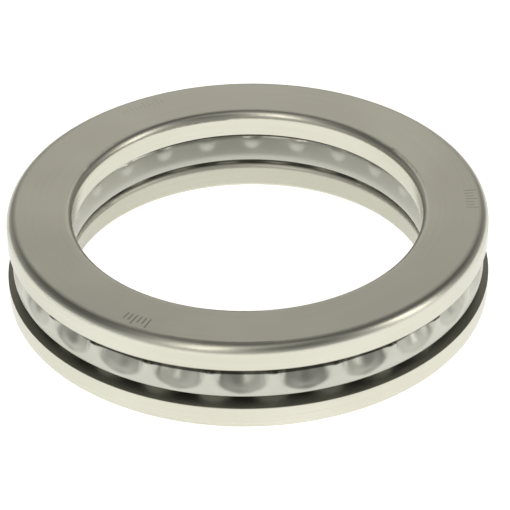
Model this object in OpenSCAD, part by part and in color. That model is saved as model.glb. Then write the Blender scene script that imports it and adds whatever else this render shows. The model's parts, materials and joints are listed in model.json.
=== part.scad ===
// Single-direction thrust ball bearing: two grooved steel washers, a ring of
// balls between them, and a pressed-steel cage that spaces the balls.
// Origin: centre of the housing washer's back face. +Z runs up the bearing's
// axis, through the shaft washer. Millimetres.

/* [Envelope] */
// Bore of the shaft washer, which grips the shaft
bore_d = 65; // [64.4:0.1:65.6]
// Bore of the housing washer, which clears the shaft
housing_bore_d = 67; // [66.2:0.1:67.6]
// Outside diameter of the housing washer, which sits in the housing
outer_d = 90; // [89.6:0.1:91]
// Outside diameter of the shaft washer, which clears the housing
shaft_washer_d = 89.5; // [89:0.1:90]
// Height over both washers
height = 18; // [17.8:0.1:18.6]

/* [Washers] */
// Height of each washer at its outside, and of the shaft washer at its bore
edge_h = 4.95; // [4.8:0.05:5.05]
// Height of each washer at the shoulders beside its groove, and of the housing
// washer at its bore
shoulder_h = 5.5; // [5.2:0.05:5.6]
// Width of the flat top of each shoulder
shoulder_flat = 0.5; // [0.3:0.1:1]
// Radius of the round on the outside edge of the back face
outer_round = 1.9; // [0.9:0.1:2]
// Radius of the round on the bore edge of the back face
bore_round = 1.55; // [0.9:0.05:1.7]
// Radius of the round on the housing washer's bore edge, on the side of the balls
land_round = 1; // [0.5:0.05:1.2]

/* [Balls] */
// Number of balls in the ring
ball_count = 24; // [18:1:24]
// Diameter of each ball
ball_d = 8.731; // [8.6:0.001:8.8]
// Diameter of the circle through the balls' centres
pitch_d = 77.5; // [77.4:0.1:77.6]
// Radius of the groove as a share of the ball's diameter
groove_share = 0.54; // [0.52:0.005:0.56]
// Running gap between a ball and the bottom of each groove
ball_gap = 0.02; // [0.01:0.005:0.03]

/* [Cage] */
// Thickness of the cage's sheet steel
sheet_t = 0.6; // [0.5:0.05:0.65]
// Outside diameter of the cage's outer wall
cage_outer_d = 88; // [88:0.1:88.4]
// Diameter inside the cage's inner wall
cage_inner_d = 66.2; // [66:0.1:66.2]
// Height of the walls' lower edges above the origin
cage_low_z = 6.75; // [6.5:0.05:7]
// Height of the web's top face above the origin
cage_top_z = 12.1; // [12:0.05:12.2]
// Outside radius of the bends between the web and the walls
bend_r = 0.9; // [0.8:0.05:1]
// Height above which the inner wall leans away from the bearing's axis
lean_z = 7.7; // [7.6:0.1:8.4]
// Angle by which it leans
lean_deg = 15; // [5:1:15]
// Diameter of the ball holes in the web, a little under the ball's
ball_hole_d = 8; // [7.9:0.05:8.2]

/* [Dents between the balls] */
// Height above the origin at which the dents would be deepest
dent_z = 12.8; // [12.6:0.1:13]
// Greatest depth of each dent on the outer wall
outer_dent_depth = 2.1; // [1.8:0.1:2.2]
// Radius of the ball-ended punch that presses the outer dents
outer_punch_r = 6.5; // [6.2:0.1:6.6]
// Greatest depth of each dent on the inner wall
inner_dent_depth = 2; // [1.8:0.1:2.1]
// Radius of the ball-ended punch that presses the inner dents
inner_punch_r = 4.6; // [4.4:0.1:4.7]

/* [Hidden] */
$fn = 96;
steel = "#d8d6cb";
cage_steel = "#b9b9b2";
ball_steel = "#e6e6e2";
ball_z = height / 2;
step_deg = 360 / ball_count;
groove_r = groove_share * ball_d;
groove_bottom_h = ball_z - ball_d / 2 - ball_gap;
groove_half_w = sqrt(groove_r * groove_r - pow(groove_bottom_h + groove_r - shoulder_h, 2));
shoulder_in = pitch_d / 2 - groove_half_w - shoulder_flat;
shoulder_out = pitch_d / 2 + groove_half_w + shoulder_flat;
cage_outer_r = cage_outer_d / 2;
cage_inner_r = cage_inner_d / 2;
overcut = 2;

// Distance of the punches' centres from the bearing's axis
outer_punch_pos = cage_outer_r - outer_dent_depth + outer_punch_r;
inner_punch_pos = cage_inner_r + inner_dent_depth - inner_punch_r;

// "ball_01", "ball_02" and so on: ball_01 lies on +X, the rest follow anticlockwise
function ball_name(k) = str("ball_", k < 10 ? "0" : "", k);
BALLS = [for (k = [1 : ball_count]) ball_name(k)];

// What a round of radius r takes off a square corner at the origin. The material
// lies above the corner, on its right.
module round_waste(r) {
    difference() {
        translate([-overcut, -overcut]) square(r + overcut);
        translate([r, r]) circle(r);
    }
}

// Half section of a washer that is bore_h high at its bore, with its back face at 0
module washer_section(r_in, r_out, bore_h) {
    difference() {
        polygon([[r_in, 0], [r_out, 0], [r_out, edge_h], [shoulder_out, shoulder_h],
                 [shoulder_in, shoulder_h], [r_in, bore_h]]);
        translate([pitch_d / 2, groove_bottom_h + groove_r]) circle(groove_r);
        translate([r_in, 0]) round_waste(bore_round);
        translate([r_out, 0]) mirror([1, 0]) round_waste(outer_round);
    }
}

module housing_washer() {
    color(steel)
        rotate_extrude()
            difference() {
                washer_section(housing_bore_d / 2, outer_d / 2, shoulder_h);
                translate([housing_bore_d / 2, shoulder_h]) mirror([0, 1]) round_waste(land_round);
            }
}

module shaft_washer() {
    color(steel)
        translate([0, 0, height])
            mirror([0, 0, 1])
                rotate_extrude()
                    washer_section(bore_d / 2, shaft_washer_d / 2, edge_h);
}

module ball(k) {
    color(ball_steel)
        rotate([0, 0, (k - 1) * step_deg])
            translate([pitch_d / 2, 0, ball_z])
                sphere(d = ball_d);
}

// Solid ring whose upper edges are rounded and whose inner wall leans from z_lean
// up: the cage's outline, or its channel
module arch_ring(r_in, r_out, z_low, z_lean, z_high, r_edge) {
    z_edge = z_high - r_edge;
    lean_r = r_in + (z_edge - z_lean) * tan(lean_deg) + r_edge / cos(lean_deg);
    rotate_extrude() {
        polygon([[r_in, z_low], [r_in, z_lean],
                 [lean_r - r_edge * cos(lean_deg), z_edge + r_edge * sin(lean_deg)],
                 [lean_r, z_edge], [lean_r, z_high], [r_out - r_edge, z_high],
                 [r_out - r_edge, z_edge], [r_out, z_edge], [r_out, z_low]]);
        for (r = [lean_r, r_out - r_edge])
            translate([r, z_edge]) circle(r_edge);
    }
}

module cage_outline() {
    arch_ring(cage_inner_r, cage_outer_r, cage_low_z, lean_z, cage_top_z, bend_r);
}

module cage_channel() {
    arch_ring(cage_inner_r + sheet_t, cage_outer_r - sheet_t, cage_low_z - overcut,
              lean_z - sheet_t * tan(lean_deg / 2), cage_top_z - sheet_t, bend_r - sheet_t);
}

// The ends of all the punches, grown by extra, midway between the bearing's balls
module punches(extra) {
    for (k = [0.5 : ball_count])
        rotate([0, 0, k * step_deg]) {
            translate([outer_punch_pos, 0, dent_z]) sphere(outer_punch_r + extra);
            translate([inner_punch_pos, 0, dent_z]) sphere(inner_punch_r + extra);
        }
}

module ball_holes() {
    for (k = [0 : ball_count - 1])
        rotate([0, 0, k * step_deg])
            translate([pitch_d / 2, 0, cage_top_z - bend_r])
                cylinder(d = ball_hole_d, h = bend_r + overcut);
}

module ball_cage() {
    color(cage_steel)
        difference() {
            union() {
                difference() {
                    cage_outline();
                    cage_channel();
                }
                intersection() {
                    cage_outline();
                    punches(sheet_t);
                }
            }
            punches(0);
            ball_holes();
        }
}

housing_washer();
shaft_washer();
ball_cage();
for (k = [1 : ball_count]) {
    ball(k);
}
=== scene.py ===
"""Looks of the thrust ball bearing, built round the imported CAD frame. Everything is in metres."""

import json
import math

import bmesh
import bpy
from mathutils import Matrix, Vector


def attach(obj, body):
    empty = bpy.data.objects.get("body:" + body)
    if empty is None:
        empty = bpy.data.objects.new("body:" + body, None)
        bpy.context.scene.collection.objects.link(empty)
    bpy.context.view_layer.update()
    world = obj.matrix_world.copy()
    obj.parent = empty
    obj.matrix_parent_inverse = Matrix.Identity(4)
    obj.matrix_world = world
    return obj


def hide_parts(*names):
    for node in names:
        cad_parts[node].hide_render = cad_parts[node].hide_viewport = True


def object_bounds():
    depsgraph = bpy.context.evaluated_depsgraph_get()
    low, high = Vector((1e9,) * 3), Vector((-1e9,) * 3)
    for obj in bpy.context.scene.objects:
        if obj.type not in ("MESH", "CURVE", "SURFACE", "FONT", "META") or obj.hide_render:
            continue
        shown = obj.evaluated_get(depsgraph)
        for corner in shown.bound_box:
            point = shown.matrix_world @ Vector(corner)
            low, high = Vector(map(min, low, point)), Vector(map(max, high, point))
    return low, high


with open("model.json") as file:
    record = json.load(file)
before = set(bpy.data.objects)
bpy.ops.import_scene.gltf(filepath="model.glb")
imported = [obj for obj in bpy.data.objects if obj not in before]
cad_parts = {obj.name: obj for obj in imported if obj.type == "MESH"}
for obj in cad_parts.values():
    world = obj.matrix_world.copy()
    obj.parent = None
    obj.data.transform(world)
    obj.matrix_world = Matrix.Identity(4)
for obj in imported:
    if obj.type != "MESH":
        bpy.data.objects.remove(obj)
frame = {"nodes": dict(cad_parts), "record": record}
cad_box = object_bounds()

MM = 0.001

# ---------------------------------------------------------------- sizes from the frame
BALLS = sorted(name for name in frame["nodes"] if name.startswith("ball_") and name != "ball_cage")
STEP = 2 * math.pi / len(BALLS)
BALL_JOINT = next(j for j in frame["record"]["behaviour"]["joints"] if j["child"] == BALLS[0])
PITCH_R = math.hypot(*BALL_JOINT["pos_m"][:2])
HEIGHT = cad_box[1][2]

# ---------------------------------------------------------------- the cage's sizes, as the CAD has them
CAGE_OUT_R = 44.0 * MM
CAGE_IN_R = 33.1 * MM
CAGE_Z = (6.75 * MM, 12.1 * MM)
CAGE_MID_R = (CAGE_OUT_R + CAGE_IN_R) / 2
CAGE_HALF_W = (CAGE_OUT_R - CAGE_IN_R) / 2
SHEET = 0.6 * MM
BEND = 0.9 * MM
HOLE_R = 4.0 * MM

# The inner wall leans away from the axis above this height, at this slope
LEAN_Z = 7.7 * MM
LEAN = math.tan(math.radians(15))

# ---------------------------------------------------------------- finer shapes of the cage
# Round on the rims' edges, and length over which the lean starts
RIM_ROUND = 0.25 * MM
LEAN_SOFT = 0.4 * MM

# The dents in the outer wall: each is a U with a round bottom, deeper towards the web
DENT = {
    "half_w": 4.45 * MM,   # half the U's width
    "low": 7.4 * MM,       # height of its bottom
    "wide": 11.0 * MM,     # height above which it is no wider
    "power": 2.6,          # how square its bottom is: 2 is an ellipse
    "edge": 0.2,           # how soft its outline is
    "floor": 0.12 * MM,    # depth at its bottom
    "slope": 0.32,         # how fast it deepens above that
    "steepen": 0.06 / MM,  # and how fast that slope grows
    "flank": 0.14,         # slope of its two flanks
    "valley": 8.0 * MM,    # radius between the flanks
}

# The dimple in each outer dent, and the bulge beside it on the inner wall, whose depth is negative
OUTER_DIMPLE = {"z": 10.9 * MM, "depth": 0.22 * MM, "half_w": 2.4 * MM}
INNER_DIMPLE = {"z": 11.1 * MM, "depth": -0.22 * MM, "half_w": 2.0 * MM}

# Straight and round stretches of the cage's section, by the number of steps in each
STEPS = {"inner_wall": 14, "outer_wall": 16, "web": 12, "bend": 10, "inside_bend": 6, "rim": 4}


# ---------------------------------------------------------------- object helpers
def add_object(name, data):
    """A new object in the scene that shows a mesh, a lamp or a camera."""
    new = bpy.data.objects.new(name, data)
    bpy.context.scene.collection.objects.link(new)
    return new


def add_mesh(name, verts, faces):
    mesh = bpy.data.meshes.new(name)
    mesh.from_pydata(verts, [], faces)
    mesh.update()
    return add_object(name, mesh)


def cut(piece, cutter):
    """Cuts cutter out of piece, and removes cutter."""
    modifier = piece.modifiers.new("holes", "BOOLEAN")
    modifier.operation = "DIFFERENCE"
    modifier.solver = "EXACT"
    modifier.object = cutter
    bpy.context.view_layer.update()
    result = bpy.data.meshes.new_from_object(piece.evaluated_get(bpy.context.evaluated_depsgraph_get()))
    piece.modifiers.clear()
    piece.data = result
    bpy.data.objects.remove(cutter)


def smooth(piece, angle=35):
    """Smooth shading, but for edges sharper than the angle."""
    piece.data.shade_smooth()
    piece.data.set_sharp_from_angle(angle=math.radians(angle))


def paint(piece, material):
    piece.data.materials.clear()
    piece.data.materials.append(material)


# ---------------------------------------------------------------- node helper
class Graph:
    """Adds nodes to a material's or a world's tree."""

    def __init__(self, tree):
        self.tree = tree
        tree.nodes.clear()

    def add(self, kind, **settings):
        node = self.tree.nodes.new(kind)
        for key, value in settings.items():
            setattr(node, key, value)
        return node

    def feed(self, socket, value):
        """Sets a socket to a number or a colour, or links it to another node's socket."""
        if isinstance(value, bpy.types.NodeSocket):
            self.tree.links.new(value, socket)
        else:
            socket.default_value = value

    def feed_all(self, sockets, values):
        for socket, value in zip(sockets, values):
            self.feed(socket, value)

    def math(self, operation, *values):
        node = self.add("ShaderNodeMath", operation=operation)
        self.feed_all(node.inputs, values)
        return node.outputs[0]

    def times(self, first, *others):
        """The product of them all."""
        for other in others:
            first = self.math("MULTIPLY", first, other)
        return first

    def ramp(self, value, low, high, to_low=0.0, to_high=1.0):
        """Maps value smoothly from [low, high] to [to_low, to_high], held flat outside."""
        node = self.add("ShaderNodeMapRange", interpolation_type="SMOOTHSTEP")
        self.feed_all(node.inputs, (value, low, high, to_low, to_high))
        return node.outputs[0]

    def fall(self, value, low, high):
        """1 up to low, 0 from high on."""
        return self.ramp(value, low, high, 1.0, 0.0)

    def combine(self, x, y, z):
        node = self.add("ShaderNodeCombineXYZ")
        self.feed_all(node.inputs, (x, y, z))
        return node.outputs[0]

    def split(self, vector):
        node = self.add("ShaderNodeSeparateXYZ")
        self.feed(node.inputs[0], vector)
        return node.outputs

    def noise(self, vector, scale, detail=2.0, roughness=0.5):
        node = self.add("ShaderNodeTexNoise")
        self.feed(node.inputs["Vector"], vector)
        self.feed(node.inputs["Scale"], scale)
        self.feed(node.inputs["Detail"], detail)
        self.feed(node.inputs["Roughness"], roughness)
        return node.outputs[0]

    def mix(self, factor, a, b):
        """The colour between a and b."""
        node = self.add("ShaderNodeMix", data_type="RGBA")
        self.feed_all((node.inputs[0], node.inputs[6], node.inputs[7]), (factor, a, b))
        return node.outputs[2]

    def between(self, factor, a, b):
        """The number between a and b."""
        node = self.add("ShaderNodeMix", data_type="FLOAT")
        self.feed_all((node.inputs[0], node.inputs[2], node.inputs[3]), (factor, a, b))
        return node.outputs[0]

    def bump(self, height, distance, strength):
        node = self.add("ShaderNodeBump")
        self.feed(node.inputs["Strength"], strength)
        self.feed(node.inputs["Distance"], distance)
        self.feed(node.inputs["Height"], height)
        return node.outputs[0]


def metal(name):
    """A new metal material: its graph and its shader."""
    material = bpy.data.materials.new(name)
    material.use_nodes = True
    g = Graph(material.node_tree)
    shader = g.add("ShaderNodeBsdfPrincipled")
    shader.inputs["Metallic"].default_value = 1.0
    out = g.add("ShaderNodeOutputMaterial")
    g.feed(out.inputs["Surface"], shader.outputs[0])
    return material, g, shader


def polar(g):
    """Object coordinates: the vector, its radius, angle and height."""
    place = g.add("ShaderNodeTexCoord").outputs["Object"]
    x, y, z = g.split(place)
    radius = g.math("SQRT", g.math("ADD", g.times(x, x), g.times(y, y)))
    return place, radius, g.math("ARCTAN2", y, x), z


# ---------------------------------------------------------------- washers
# Rows of etched ticks on the shaft washer's face: middle of the row in degrees,
# number of ticks, lowest and highest radius, and how dark they are
TICKS = [
    (-124.7, 6, 39.6 * MM, 42.4 * MM, 0.55),
    (-4.0, 7, 40.6 * MM, 42.8 * MM, 0.3),
    (113.9, 10, 40.0 * MM, 42.0 * MM, 0.12),
]
TICK_STEP = math.radians(1.3)

# Length of a short tick, as a share of a long one's
SHORT_TICK = 0.7

# Where the steel's finish changes, by how far up or down it faces: to a round's, and to a face's
ROUND_UP = (0.05, 0.3)
FACE_UP = (0.93, 0.97)

# Where the washers' zones end, each softly between two values. The gap holds the balls, and its
# height counts from the middle; shade is painted in it towards the outside, and on the low bore. The low
# bore is the housing washer's, and its land is the round above.
GAP_Z = (4.0 * MM, 4.3 * MM)
OUTSIDE_R = (36 * MM, 40 * MM)
LOW_BORE_R = (33.52 * MM, 33.7 * MM)
LOW_BORE_Z = (5.2 * MM, 6.0 * MM)
LAND_R = (35.0 * MM, 35.5 * MM)
LAND_LOW_Z = (4.3 * MM, 4.6 * MM)
LAND_HIGH_Z = (6.0 * MM, 7.0 * MM)
FACE_Z = HEIGHT - 0.1 * MM

# How far the noise of the grinding marks moves on for each radian round the axis
LAY = 0.6 * MM

# The ranges of a noise that are spread over a whole tint or roughness
CLOUDY = (0.35, 0.65)
STREAKY = (0.3, 0.7)


def tick_row(g, radius, angle, middle, count, r_low, r_high):
    """Mask of a row of radial ticks, every third one long."""
    place = g.math("DIVIDE", g.math("SUBTRACT", angle, math.radians(middle)), TICK_STEP)
    shifted = g.math("ADD", place, (count + 1) % 2 / 2)
    line = g.fall(g.math("PINGPONG", shifted, 0.5), 0.10, 0.22)
    in_row = g.math("LESS_THAN", g.math("ABSOLUTE", place), count / 2)
    is_long = g.math("LESS_THAN", g.math("PINGPONG", shifted, 1.5), 0.5)
    length = r_high - r_low
    top = g.math("ADD", g.times(is_long, (1 - SHORT_TICK) * length), r_low + SHORT_TICK * length)
    in_ring = g.times(g.math("GREATER_THAN", radius, r_low), g.math("LESS_THAN", radius, top))
    return g.times(line, in_row, in_ring)


def washer_steel():
    """Ground bearing steel: matt faces, brighter bands, satin rounds, etched ticks on the face, and
    painted shade in the ball gap and on the housing washer's bore.
    """
    material, g, shader = metal("washer_steel")
    place, radius, angle, z = polar(g)
    lay = g.combine(g.math("ADD", radius, z), g.times(angle, LAY), 0.0)
    fine = g.noise(lay, 14000.0, detail=3.0, roughness=0.6)
    streaks = g.noise(lay, 2200.0)
    cloud = g.noise(place, 45.0, detail=3.0)
    up = g.math("ABSOLUTE", g.split(g.add("ShaderNodeNewGeometry").outputs["Normal"])[2])

    tint = g.mix(g.ramp(cloud, *CLOUDY), (0.63, 0.622, 0.53, 1), (0.66, 0.65, 0.565, 1))
    tint = g.mix(g.times(g.ramp(streaks, *STREAKY), 0.12), tint, (0.50, 0.49, 0.42, 1))
    # Painted shade: the washers darken between their rims, where the balls run in the shade of the gap.
    gap_shade = g.fall(g.math("ABSOLUTE", g.math("SUBTRACT", z, HEIGHT / 2)), *GAP_Z)
    tint = g.mix(g.times(gap_shade, g.ramp(radius, *OUTSIDE_R), 0.65), tint, (0.16, 0.155, 0.12, 1))
    # Painted shade on the housing washer's bore, standing in for the shaded floor it reflects inside the
    # ring.
    low_bore_shade = g.times(g.fall(radius, *LOW_BORE_R), g.fall(z, *LOW_BORE_Z))
    tint = g.mix(g.times(low_bore_shade, 0.45), tint, (0.34, 0.335, 0.275, 1))
    on_face = g.math("GREATER_THAN", z, FACE_Z)
    for *row, strength in TICKS:
        mark = g.times(tick_row(g, radius, angle, *row), on_face, strength)
        tint = g.mix(mark, tint, (0.10, 0.097, 0.08, 1))
    g.feed(shader.inputs["Base Color"], tint)
    shader.inputs["Specular Tint"].default_value = (0.85, 0.85, 0.85, 1)

    band_rough = g.math("ADD", g.ramp(streaks, *STREAKY, 0.17, 0.23), g.ramp(up, *ROUND_UP, 0.0, 0.15))
    land = g.times(g.ramp(z, *LAND_LOW_Z), g.fall(radius, *LAND_R), g.fall(z, *LAND_HIGH_Z))
    band_rough = g.math("ADD", band_rough, g.times(land, 0.15))
    face_rough = g.ramp(cloud, *CLOUDY, 0.44, 0.50)
    g.feed(shader.inputs["Roughness"], g.between(g.ramp(up, *FACE_UP), band_rough, face_rough))
    g.feed(shader.inputs["Normal"], g.bump(fine, distance=0.002 * MM, strength=0.25))
    return material


# ---------------------------------------------------------------- cage and balls
# Between these radii the inner wall's painted shade gives way to the outer wall's tint
CAGE_SIDE_R = (36 * MM, 39 * MM)

# Between these depths a dent's painted shade comes in
DENT_SHADE_DEPTHS = (0.03 * MM, 0.3 * MM)

# Between these heights painted shade turns the cage's skin dark near the web, under the shaft washer, and
# sooner by the slant where it is pressed in
WEB_SHADE = (11.5 * MM, 11.8 * MM)
WEB_SLANT = 0.69


def cage_steel():
    """Tumbled pressed sheet: satin and softly mottled, with painted shade in the dents, on the inner wall
    and at the web.
    """
    material, g, shader = metal("cage_steel")
    place, radius, _, z = polar(g)
    grain = g.noise(place, 5200.0, detail=3.0, roughness=0.6)
    cloud = g.noise(place, 160.0, detail=3.0)
    inner = g.fall(radius, *CAGE_SIDE_R)
    from_middle = g.math("ABSOLUTE", g.math("SUBTRACT", radius, CAGE_MID_R))
    pressed_in = g.math("SUBTRACT", CAGE_HALF_W, from_middle)
    dent_shade = g.times(g.ramp(pressed_in, *DENT_SHADE_DEPTHS), g.math("SUBTRACT", 1.0, inner))
    lean = g.times(g.math("MAXIMUM", g.math("SUBTRACT", z, LEAN_Z), 0.0), LEAN)
    beyond_lean = g.math("SUBTRACT", pressed_in, g.times(inner, lean))
    web = g.ramp(g.math("ADD", z, g.times(beyond_lean, WEB_SLANT)), *WEB_SHADE)

    shade_tint = (0.33, 0.325, 0.28, 1)
    tint = g.mix(g.ramp(cloud, *CLOUDY), (0.52, 0.52, 0.465, 1), (0.56, 0.56, 0.51, 1))
    # Painted shade: the inner wall and the dents are darkened, where less light reaches them.
    tint = g.mix(g.times(inner, 0.3), tint, shade_tint)
    tint = g.mix(g.times(dent_shade, 0.15), tint, shade_tint)
    # Painted shade: the skin near the web turns nearly black in the shadow under the shaft washer.
    tint = g.mix(g.times(web, 0.95), tint, (0.06, 0.058, 0.045, 1))
    g.feed(shader.inputs["Base Color"], tint)
    g.feed(shader.inputs["Roughness"], g.ramp(cloud, *CLOUDY, 0.33, 0.39))
    g.feed(shader.inputs["Normal"], g.bump(grain, distance=0.006 * MM, strength=0.35))
    return material


def ball_steel():
    """Lapped and polished ball steel."""
    material, g, shader = metal("ball_steel")
    place = g.add("ShaderNodeTexCoord").outputs["Object"]
    cloud = g.noise(place, 900.0)
    g.feed(shader.inputs["Base Color"], g.mix(cloud, (0.68, 0.68, 0.66, 1), (0.74, 0.74, 0.72, 1)))
    g.feed(shader.inputs["Roughness"], g.ramp(cloud, *STREAKY, 0.05, 0.09))
    return material


# ---------------------------------------------------------------- the cage's mesh
def arc(cx, cz, r, start, end, steps):
    """Points of an arc in the half section, as (radius, height), its end left out."""
    angles = [math.radians(start + (end - start) * i / steps) for i in range(steps)]
    return [(cx + r * math.cos(a), cz + r * math.sin(a)) for a in angles]


def line(p, q, steps):
    """Points from p to q in the half section, q left out."""
    return [(p[0] + (q[0] - p[0]) * i / steps, p[1] + (q[1] - p[1]) * i / steps) for i in range(steps)]


def cage_section():
    """The channel's half section as one closed loop: outer skin, rim, inner skin, rim."""
    r_in, r_out, z_top = CAGE_IN_R, CAGE_OUT_R, CAGE_Z[1]
    z_rim, z_bend = CAGE_Z[0] + RIM_ROUND, z_top - BEND
    inside = BEND - SHEET
    loop = line((r_in, z_rim), (r_in, z_bend), STEPS["inner_wall"])
    loop += arc(r_in + BEND, z_bend, BEND, 180, 90, STEPS["bend"])
    loop += line((r_in + BEND, z_top), (r_out - BEND, z_top), STEPS["web"])
    loop += arc(r_out - BEND, z_bend, BEND, 90, 0, STEPS["bend"])
    loop += line((r_out, z_bend), (r_out, z_rim), STEPS["outer_wall"])
    loop += arc(r_out - RIM_ROUND, z_rim, RIM_ROUND, 0, -90, STEPS["rim"])
    loop += arc(r_out - SHEET + RIM_ROUND, z_rim, RIM_ROUND, -90, -180, STEPS["rim"])
    loop += line((r_out - SHEET, z_rim), (r_out - SHEET, z_bend), STEPS["outer_wall"])
    loop += arc(r_out - BEND, z_bend, inside, 0, 90, STEPS["inside_bend"])
    loop += line((r_out - BEND, z_top - SHEET), (r_in + BEND, z_top - SHEET), STEPS["web"])
    loop += arc(r_in + BEND, z_bend, inside, 90, 180, STEPS["inside_bend"])
    loop += line((r_in + SHEET, z_bend), (r_in + SHEET, z_rim), STEPS["inner_wall"])
    loop += arc(r_in + SHEET - RIM_ROUND, z_rim, RIM_ROUND, 0, -90, STEPS["rim"])
    loop += arc(r_in + RIM_ROUND, z_rim, RIM_ROUND, -90, -180, STEPS["rim"])
    return loop


def ease(t):
    """Smooth step from 0 to 1."""
    t = min(max(t, 0.0), 1.0)
    return t * t * (3 - 2 * t)


def dent_depth(u, z):
    """How far a dent pushes the outer wall in, u aside from the dent's middle and at height z."""
    across = abs(u) / DENT["half_w"]
    down = max(DENT["wide"] - z, 0) / (DENT["wide"] - DENT["low"])
    reach = (across ** DENT["power"] + down ** DENT["power"]) ** (1 / DENT["power"])
    inside = ease((1 + DENT["edge"] - reach) / (2 * DENT["edge"]))
    rise = z - DENT["low"]
    round_w = DENT["flank"] * DENT["valley"]
    flanks = DENT["flank"] * (math.hypot(u, round_w) - round_w)
    return inside * max(DENT["floor"] + DENT["slope"] * rise + DENT["steepen"] * rise ** 2 / 2 - flanks, 0)


def dimple_depth(dimple, u, z):
    """How far a dimple pushes a wall in."""
    off = math.hypot(u, z - dimple["z"]) / dimple["half_w"]
    return dimple["depth"] * max(1 - off ** 2, 0) ** 2


def lean_depth(z):
    """How far the inner wall leans out at height z, with a soft start."""
    rise = z - LEAN_Z
    return LEAN * (rise + math.hypot(rise, LEAN_SOFT)) / 2


def pressed(r, z, phi):
    """The radius to which the press moves a point of the sheet, phi round from the dents' middle."""
    share = min(abs(r - CAGE_MID_R) / (CAGE_HALF_W - BEND), 1)
    if r > CAGE_MID_R:
        u = CAGE_OUT_R * phi
        return r - share * (dent_depth(u, z) + dimple_depth(OUTER_DIMPLE, u, z))
    return r + share * (lean_depth(z) + dimple_depth(INNER_DIMPLE, CAGE_IN_R * phi, z))


def build_cage(steps_per_ball=28):
    """The cage without its holes: its section swept round the axis, pressed between the balls."""
    section = cage_section()
    period = []
    for j in range(steps_per_ball):
        phi = (j / steps_per_ball - 0.5) * STEP
        turn = Matrix.Rotation(phi, 3, "Z")
        period += [turn @ Vector((pressed(r, z, phi), 0, z)) for r, z in section]
    verts = []
    for k in range(len(BALLS)):
        turn = Matrix.Rotation((k + 0.5) * STEP, 3, "Z")
        verts += [turn @ v for v in period]
    n, rings = len(section), len(BALLS) * steps_per_ball
    faces = []
    for i in range(rings):
        a, b = i * n, (i + 1) % rings * n
        faces += [(a + j, b + j, b + (j + 1) % n, a + (j + 1) % n) for j in range(n)]
    return add_mesh("pressed_cage", verts, faces)


def hole_cutter():
    """Cylinders for the ball holes, in one mesh."""
    bm = bmesh.new()
    top, bottom = CAGE_Z[1] + MM, CAGE_Z[1] - BEND
    for k in range(len(BALLS)):
        place = Matrix.Rotation(k * STEP, 4, "Z") @ Matrix.Translation((PITCH_R, 0, (top + bottom) / 2))
        bmesh.ops.create_cone(bm, cap_ends=True, segments=64, radius1=HOLE_R, radius2=HOLE_R,
                              depth=top - bottom, matrix=place)
    mesh = bpy.data.meshes.new("hole_cutter")
    bm.to_mesh(mesh)
    bm.free()
    return add_object("hole_cutter", mesh)


# ---------------------------------------------------------------- pieces
WASHER, CAGE, BALL = washer_steel(), cage_steel(), ball_steel()
for name in ("housing_washer", "shaft_washer"):
    paint(frame["nodes"][name], WASHER)
for name in BALLS:
    paint(frame["nodes"][name], BALL)

cage = build_cage()
cut(cage, hole_cutter())
smooth(cage)
paint(cage, CAGE)
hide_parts("ball_cage")
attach(cage, "ball_cage")


# ---------------------------------------------------------------- stage, light and camera
# The camera's place round the axis and up, and its roll, in degrees. It looks at a point on the axis.
CAMERA_AZIMUTH = -5.6
CAMERA_ELEVATION = 34.434
CAMERA_ROLL = 0.937
CAMERA_DISTANCE = 0.6057
CAMERA_TARGET_Z = 8.1 * MM
CAMERA_SHIFT = (0.01373, -0.01027)
FOCAL_MM = 228.36
SENSOR_MM = 36.0

FLOOR_HALF_W = 1.5

# Name, azimuth from the camera and elevation in degrees, distance, width and height, and power
SOFTBOXES = [
    ("top_softbox", -24.5, 76, 0.7, (0.60, 0.34), 0.22),
    ("back_softbox", 179, 38, 0.27, (0.24, 0.15), 0.078),
    ("left_strip", -24, 43, 0.8, (0.16, 0.60), 1.0),
    ("right_strip", 76, 26, 0.8, (0.18, 0.50), 0.9),
]


def toward(azimuth, elevation=0.0):
    """The direction at this azimuth, from the camera to the right, and this elevation, in degrees."""
    around, up = math.radians(azimuth + CAMERA_AZIMUTH), math.radians(elevation)
    return Vector((math.sin(around) * math.cos(up), -math.cos(around) * math.cos(up), math.sin(up)))


def floor():
    w = FLOOR_HALF_W
    plane = add_mesh("floor", [(-w, -w, 0), (w, -w, 0), (w, w, 0), (-w, w, 0)], [(0, 1, 2, 3)])
    material = bpy.data.materials.new("pale_floor")
    material.use_nodes = True
    g = Graph(material.node_tree)
    shader = g.add("ShaderNodeBsdfPrincipled")
    shader.inputs["Base Color"].default_value = (0.6, 0.6, 0.6, 1)
    shader.inputs["Roughness"].default_value = 1.0
    shader.inputs["Specular IOR Level"].default_value = 0.0
    shader.inputs["Emission Color"].default_value = (1, 0.995, 0.97, 1)
    shader.inputs["Emission Strength"].default_value = 0.98
    out = g.add("ShaderNodeOutputMaterial")
    g.feed(out.inputs["Surface"], shader.outputs[0])
    paint(plane, material)


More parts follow.
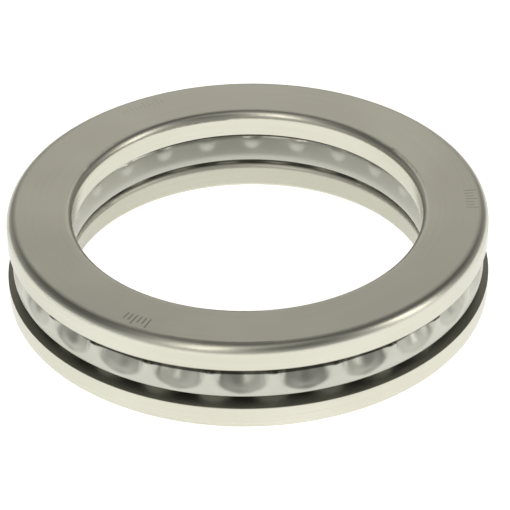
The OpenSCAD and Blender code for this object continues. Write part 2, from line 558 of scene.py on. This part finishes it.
def sky(glow, card, left, low, base):
    """The studio's soft light, each part at its own strength: a glow low behind the object, a pale
    card on the right, a window on the left, a ring near the horizon, and the same base all over."""
    world = bpy.data.worlds.new("studio")
    world.use_nodes = True
    g = Graph(world.node_tree)
    x, y, z = g.split(g.add("ShaderNodeTexCoord").outputs["Generated"])
    above = g.ramp(z, -0.02, 0.1)

    def patch(azimuth, half, soft, fade):
        """A patch of sky round an azimuth: half its width and its soft edge are in radians, and it
        fades out between two heights."""
        ahead, aside = toward(azimuth), toward(azimuth + 90)
        along = g.math("ADD", g.times(x, ahead.x), g.times(y, ahead.y))
        across = g.math("ADD", g.times(x, aside.x), g.times(y, aside.y))
        off = g.math("ABSOLUTE", g.math("ARCTAN2", across, along))
        return g.times(g.fall(off, half, half + soft), g.fall(z, *fade))

    parts = [
        (patch(191.2, 0.5, 0.6, (0.35, 0.8)), glow),
        (g.times(patch(71.6, 0.30, 0.18, (0.80, 0.90)), above), card),
        (g.times(patch(-34.4, 0.35, 0.40, (0.5, 0.75)), above), left),
        (g.fall(z, 0.3, 0.6), low),
    ]
    value = base
    for mask, strength in parts:
        value = g.math("ADD", g.times(mask, strength), value)
    background = g.add("ShaderNodeBackground")
    background.inputs["Color"].default_value = (1.0, 0.995, 0.97, 1)
    g.feed(background.inputs["Strength"], value)
    out = g.add("ShaderNodeOutputWorld")
    g.feed(out.inputs["Surface"], background.outputs[0])
    bpy.context.scene.world = world


def softbox(name, azimuth, elevation, distance, size, power):
    """A rectangular lamp that looks at the origin."""
    light = bpy.data.lights.new(name, "AREA")
    light.shape = "RECTANGLE"
    light.size, light.size_y = size
    light.energy = power
    light.color = (1.0, 0.98, 0.93)
    direction = toward(azimuth, elevation)
    lamp = add_object(name, light)
    lamp.location = direction * distance
    lamp.rotation_euler = direction.to_track_quat("Z", "Y").to_euler()


def camera():
    """The camera, a little to the left of the front and rolled a little."""
    data = bpy.data.cameras.new("camera")
    data.sensor_width = SENSOR_MM
    data.lens = FOCAL_MM
    data.shift_x, data.shift_y = CAMERA_SHIFT
    cam = add_object("camera", data)
    back = toward(0, CAMERA_ELEVATION)
    cam.location = Vector((0, 0, CAMERA_TARGET_Z)) + back * CAMERA_DISTANCE
    roll = Matrix.Rotation(-math.radians(CAMERA_ROLL), 3, "Z")
    cam.rotation_euler = (back.to_track_quat("Z", "Y").to_matrix() @ roll).to_euler()
    bpy.context.scene.camera = cam


floor()
sky(glow=0.10, card=0.20, left=0.23, low=0.18, base=0.085)
for box in SOFTBOXES:
    softbox(*box)
camera()
bpy.context.scene.view_settings.view_transform = "Standard"
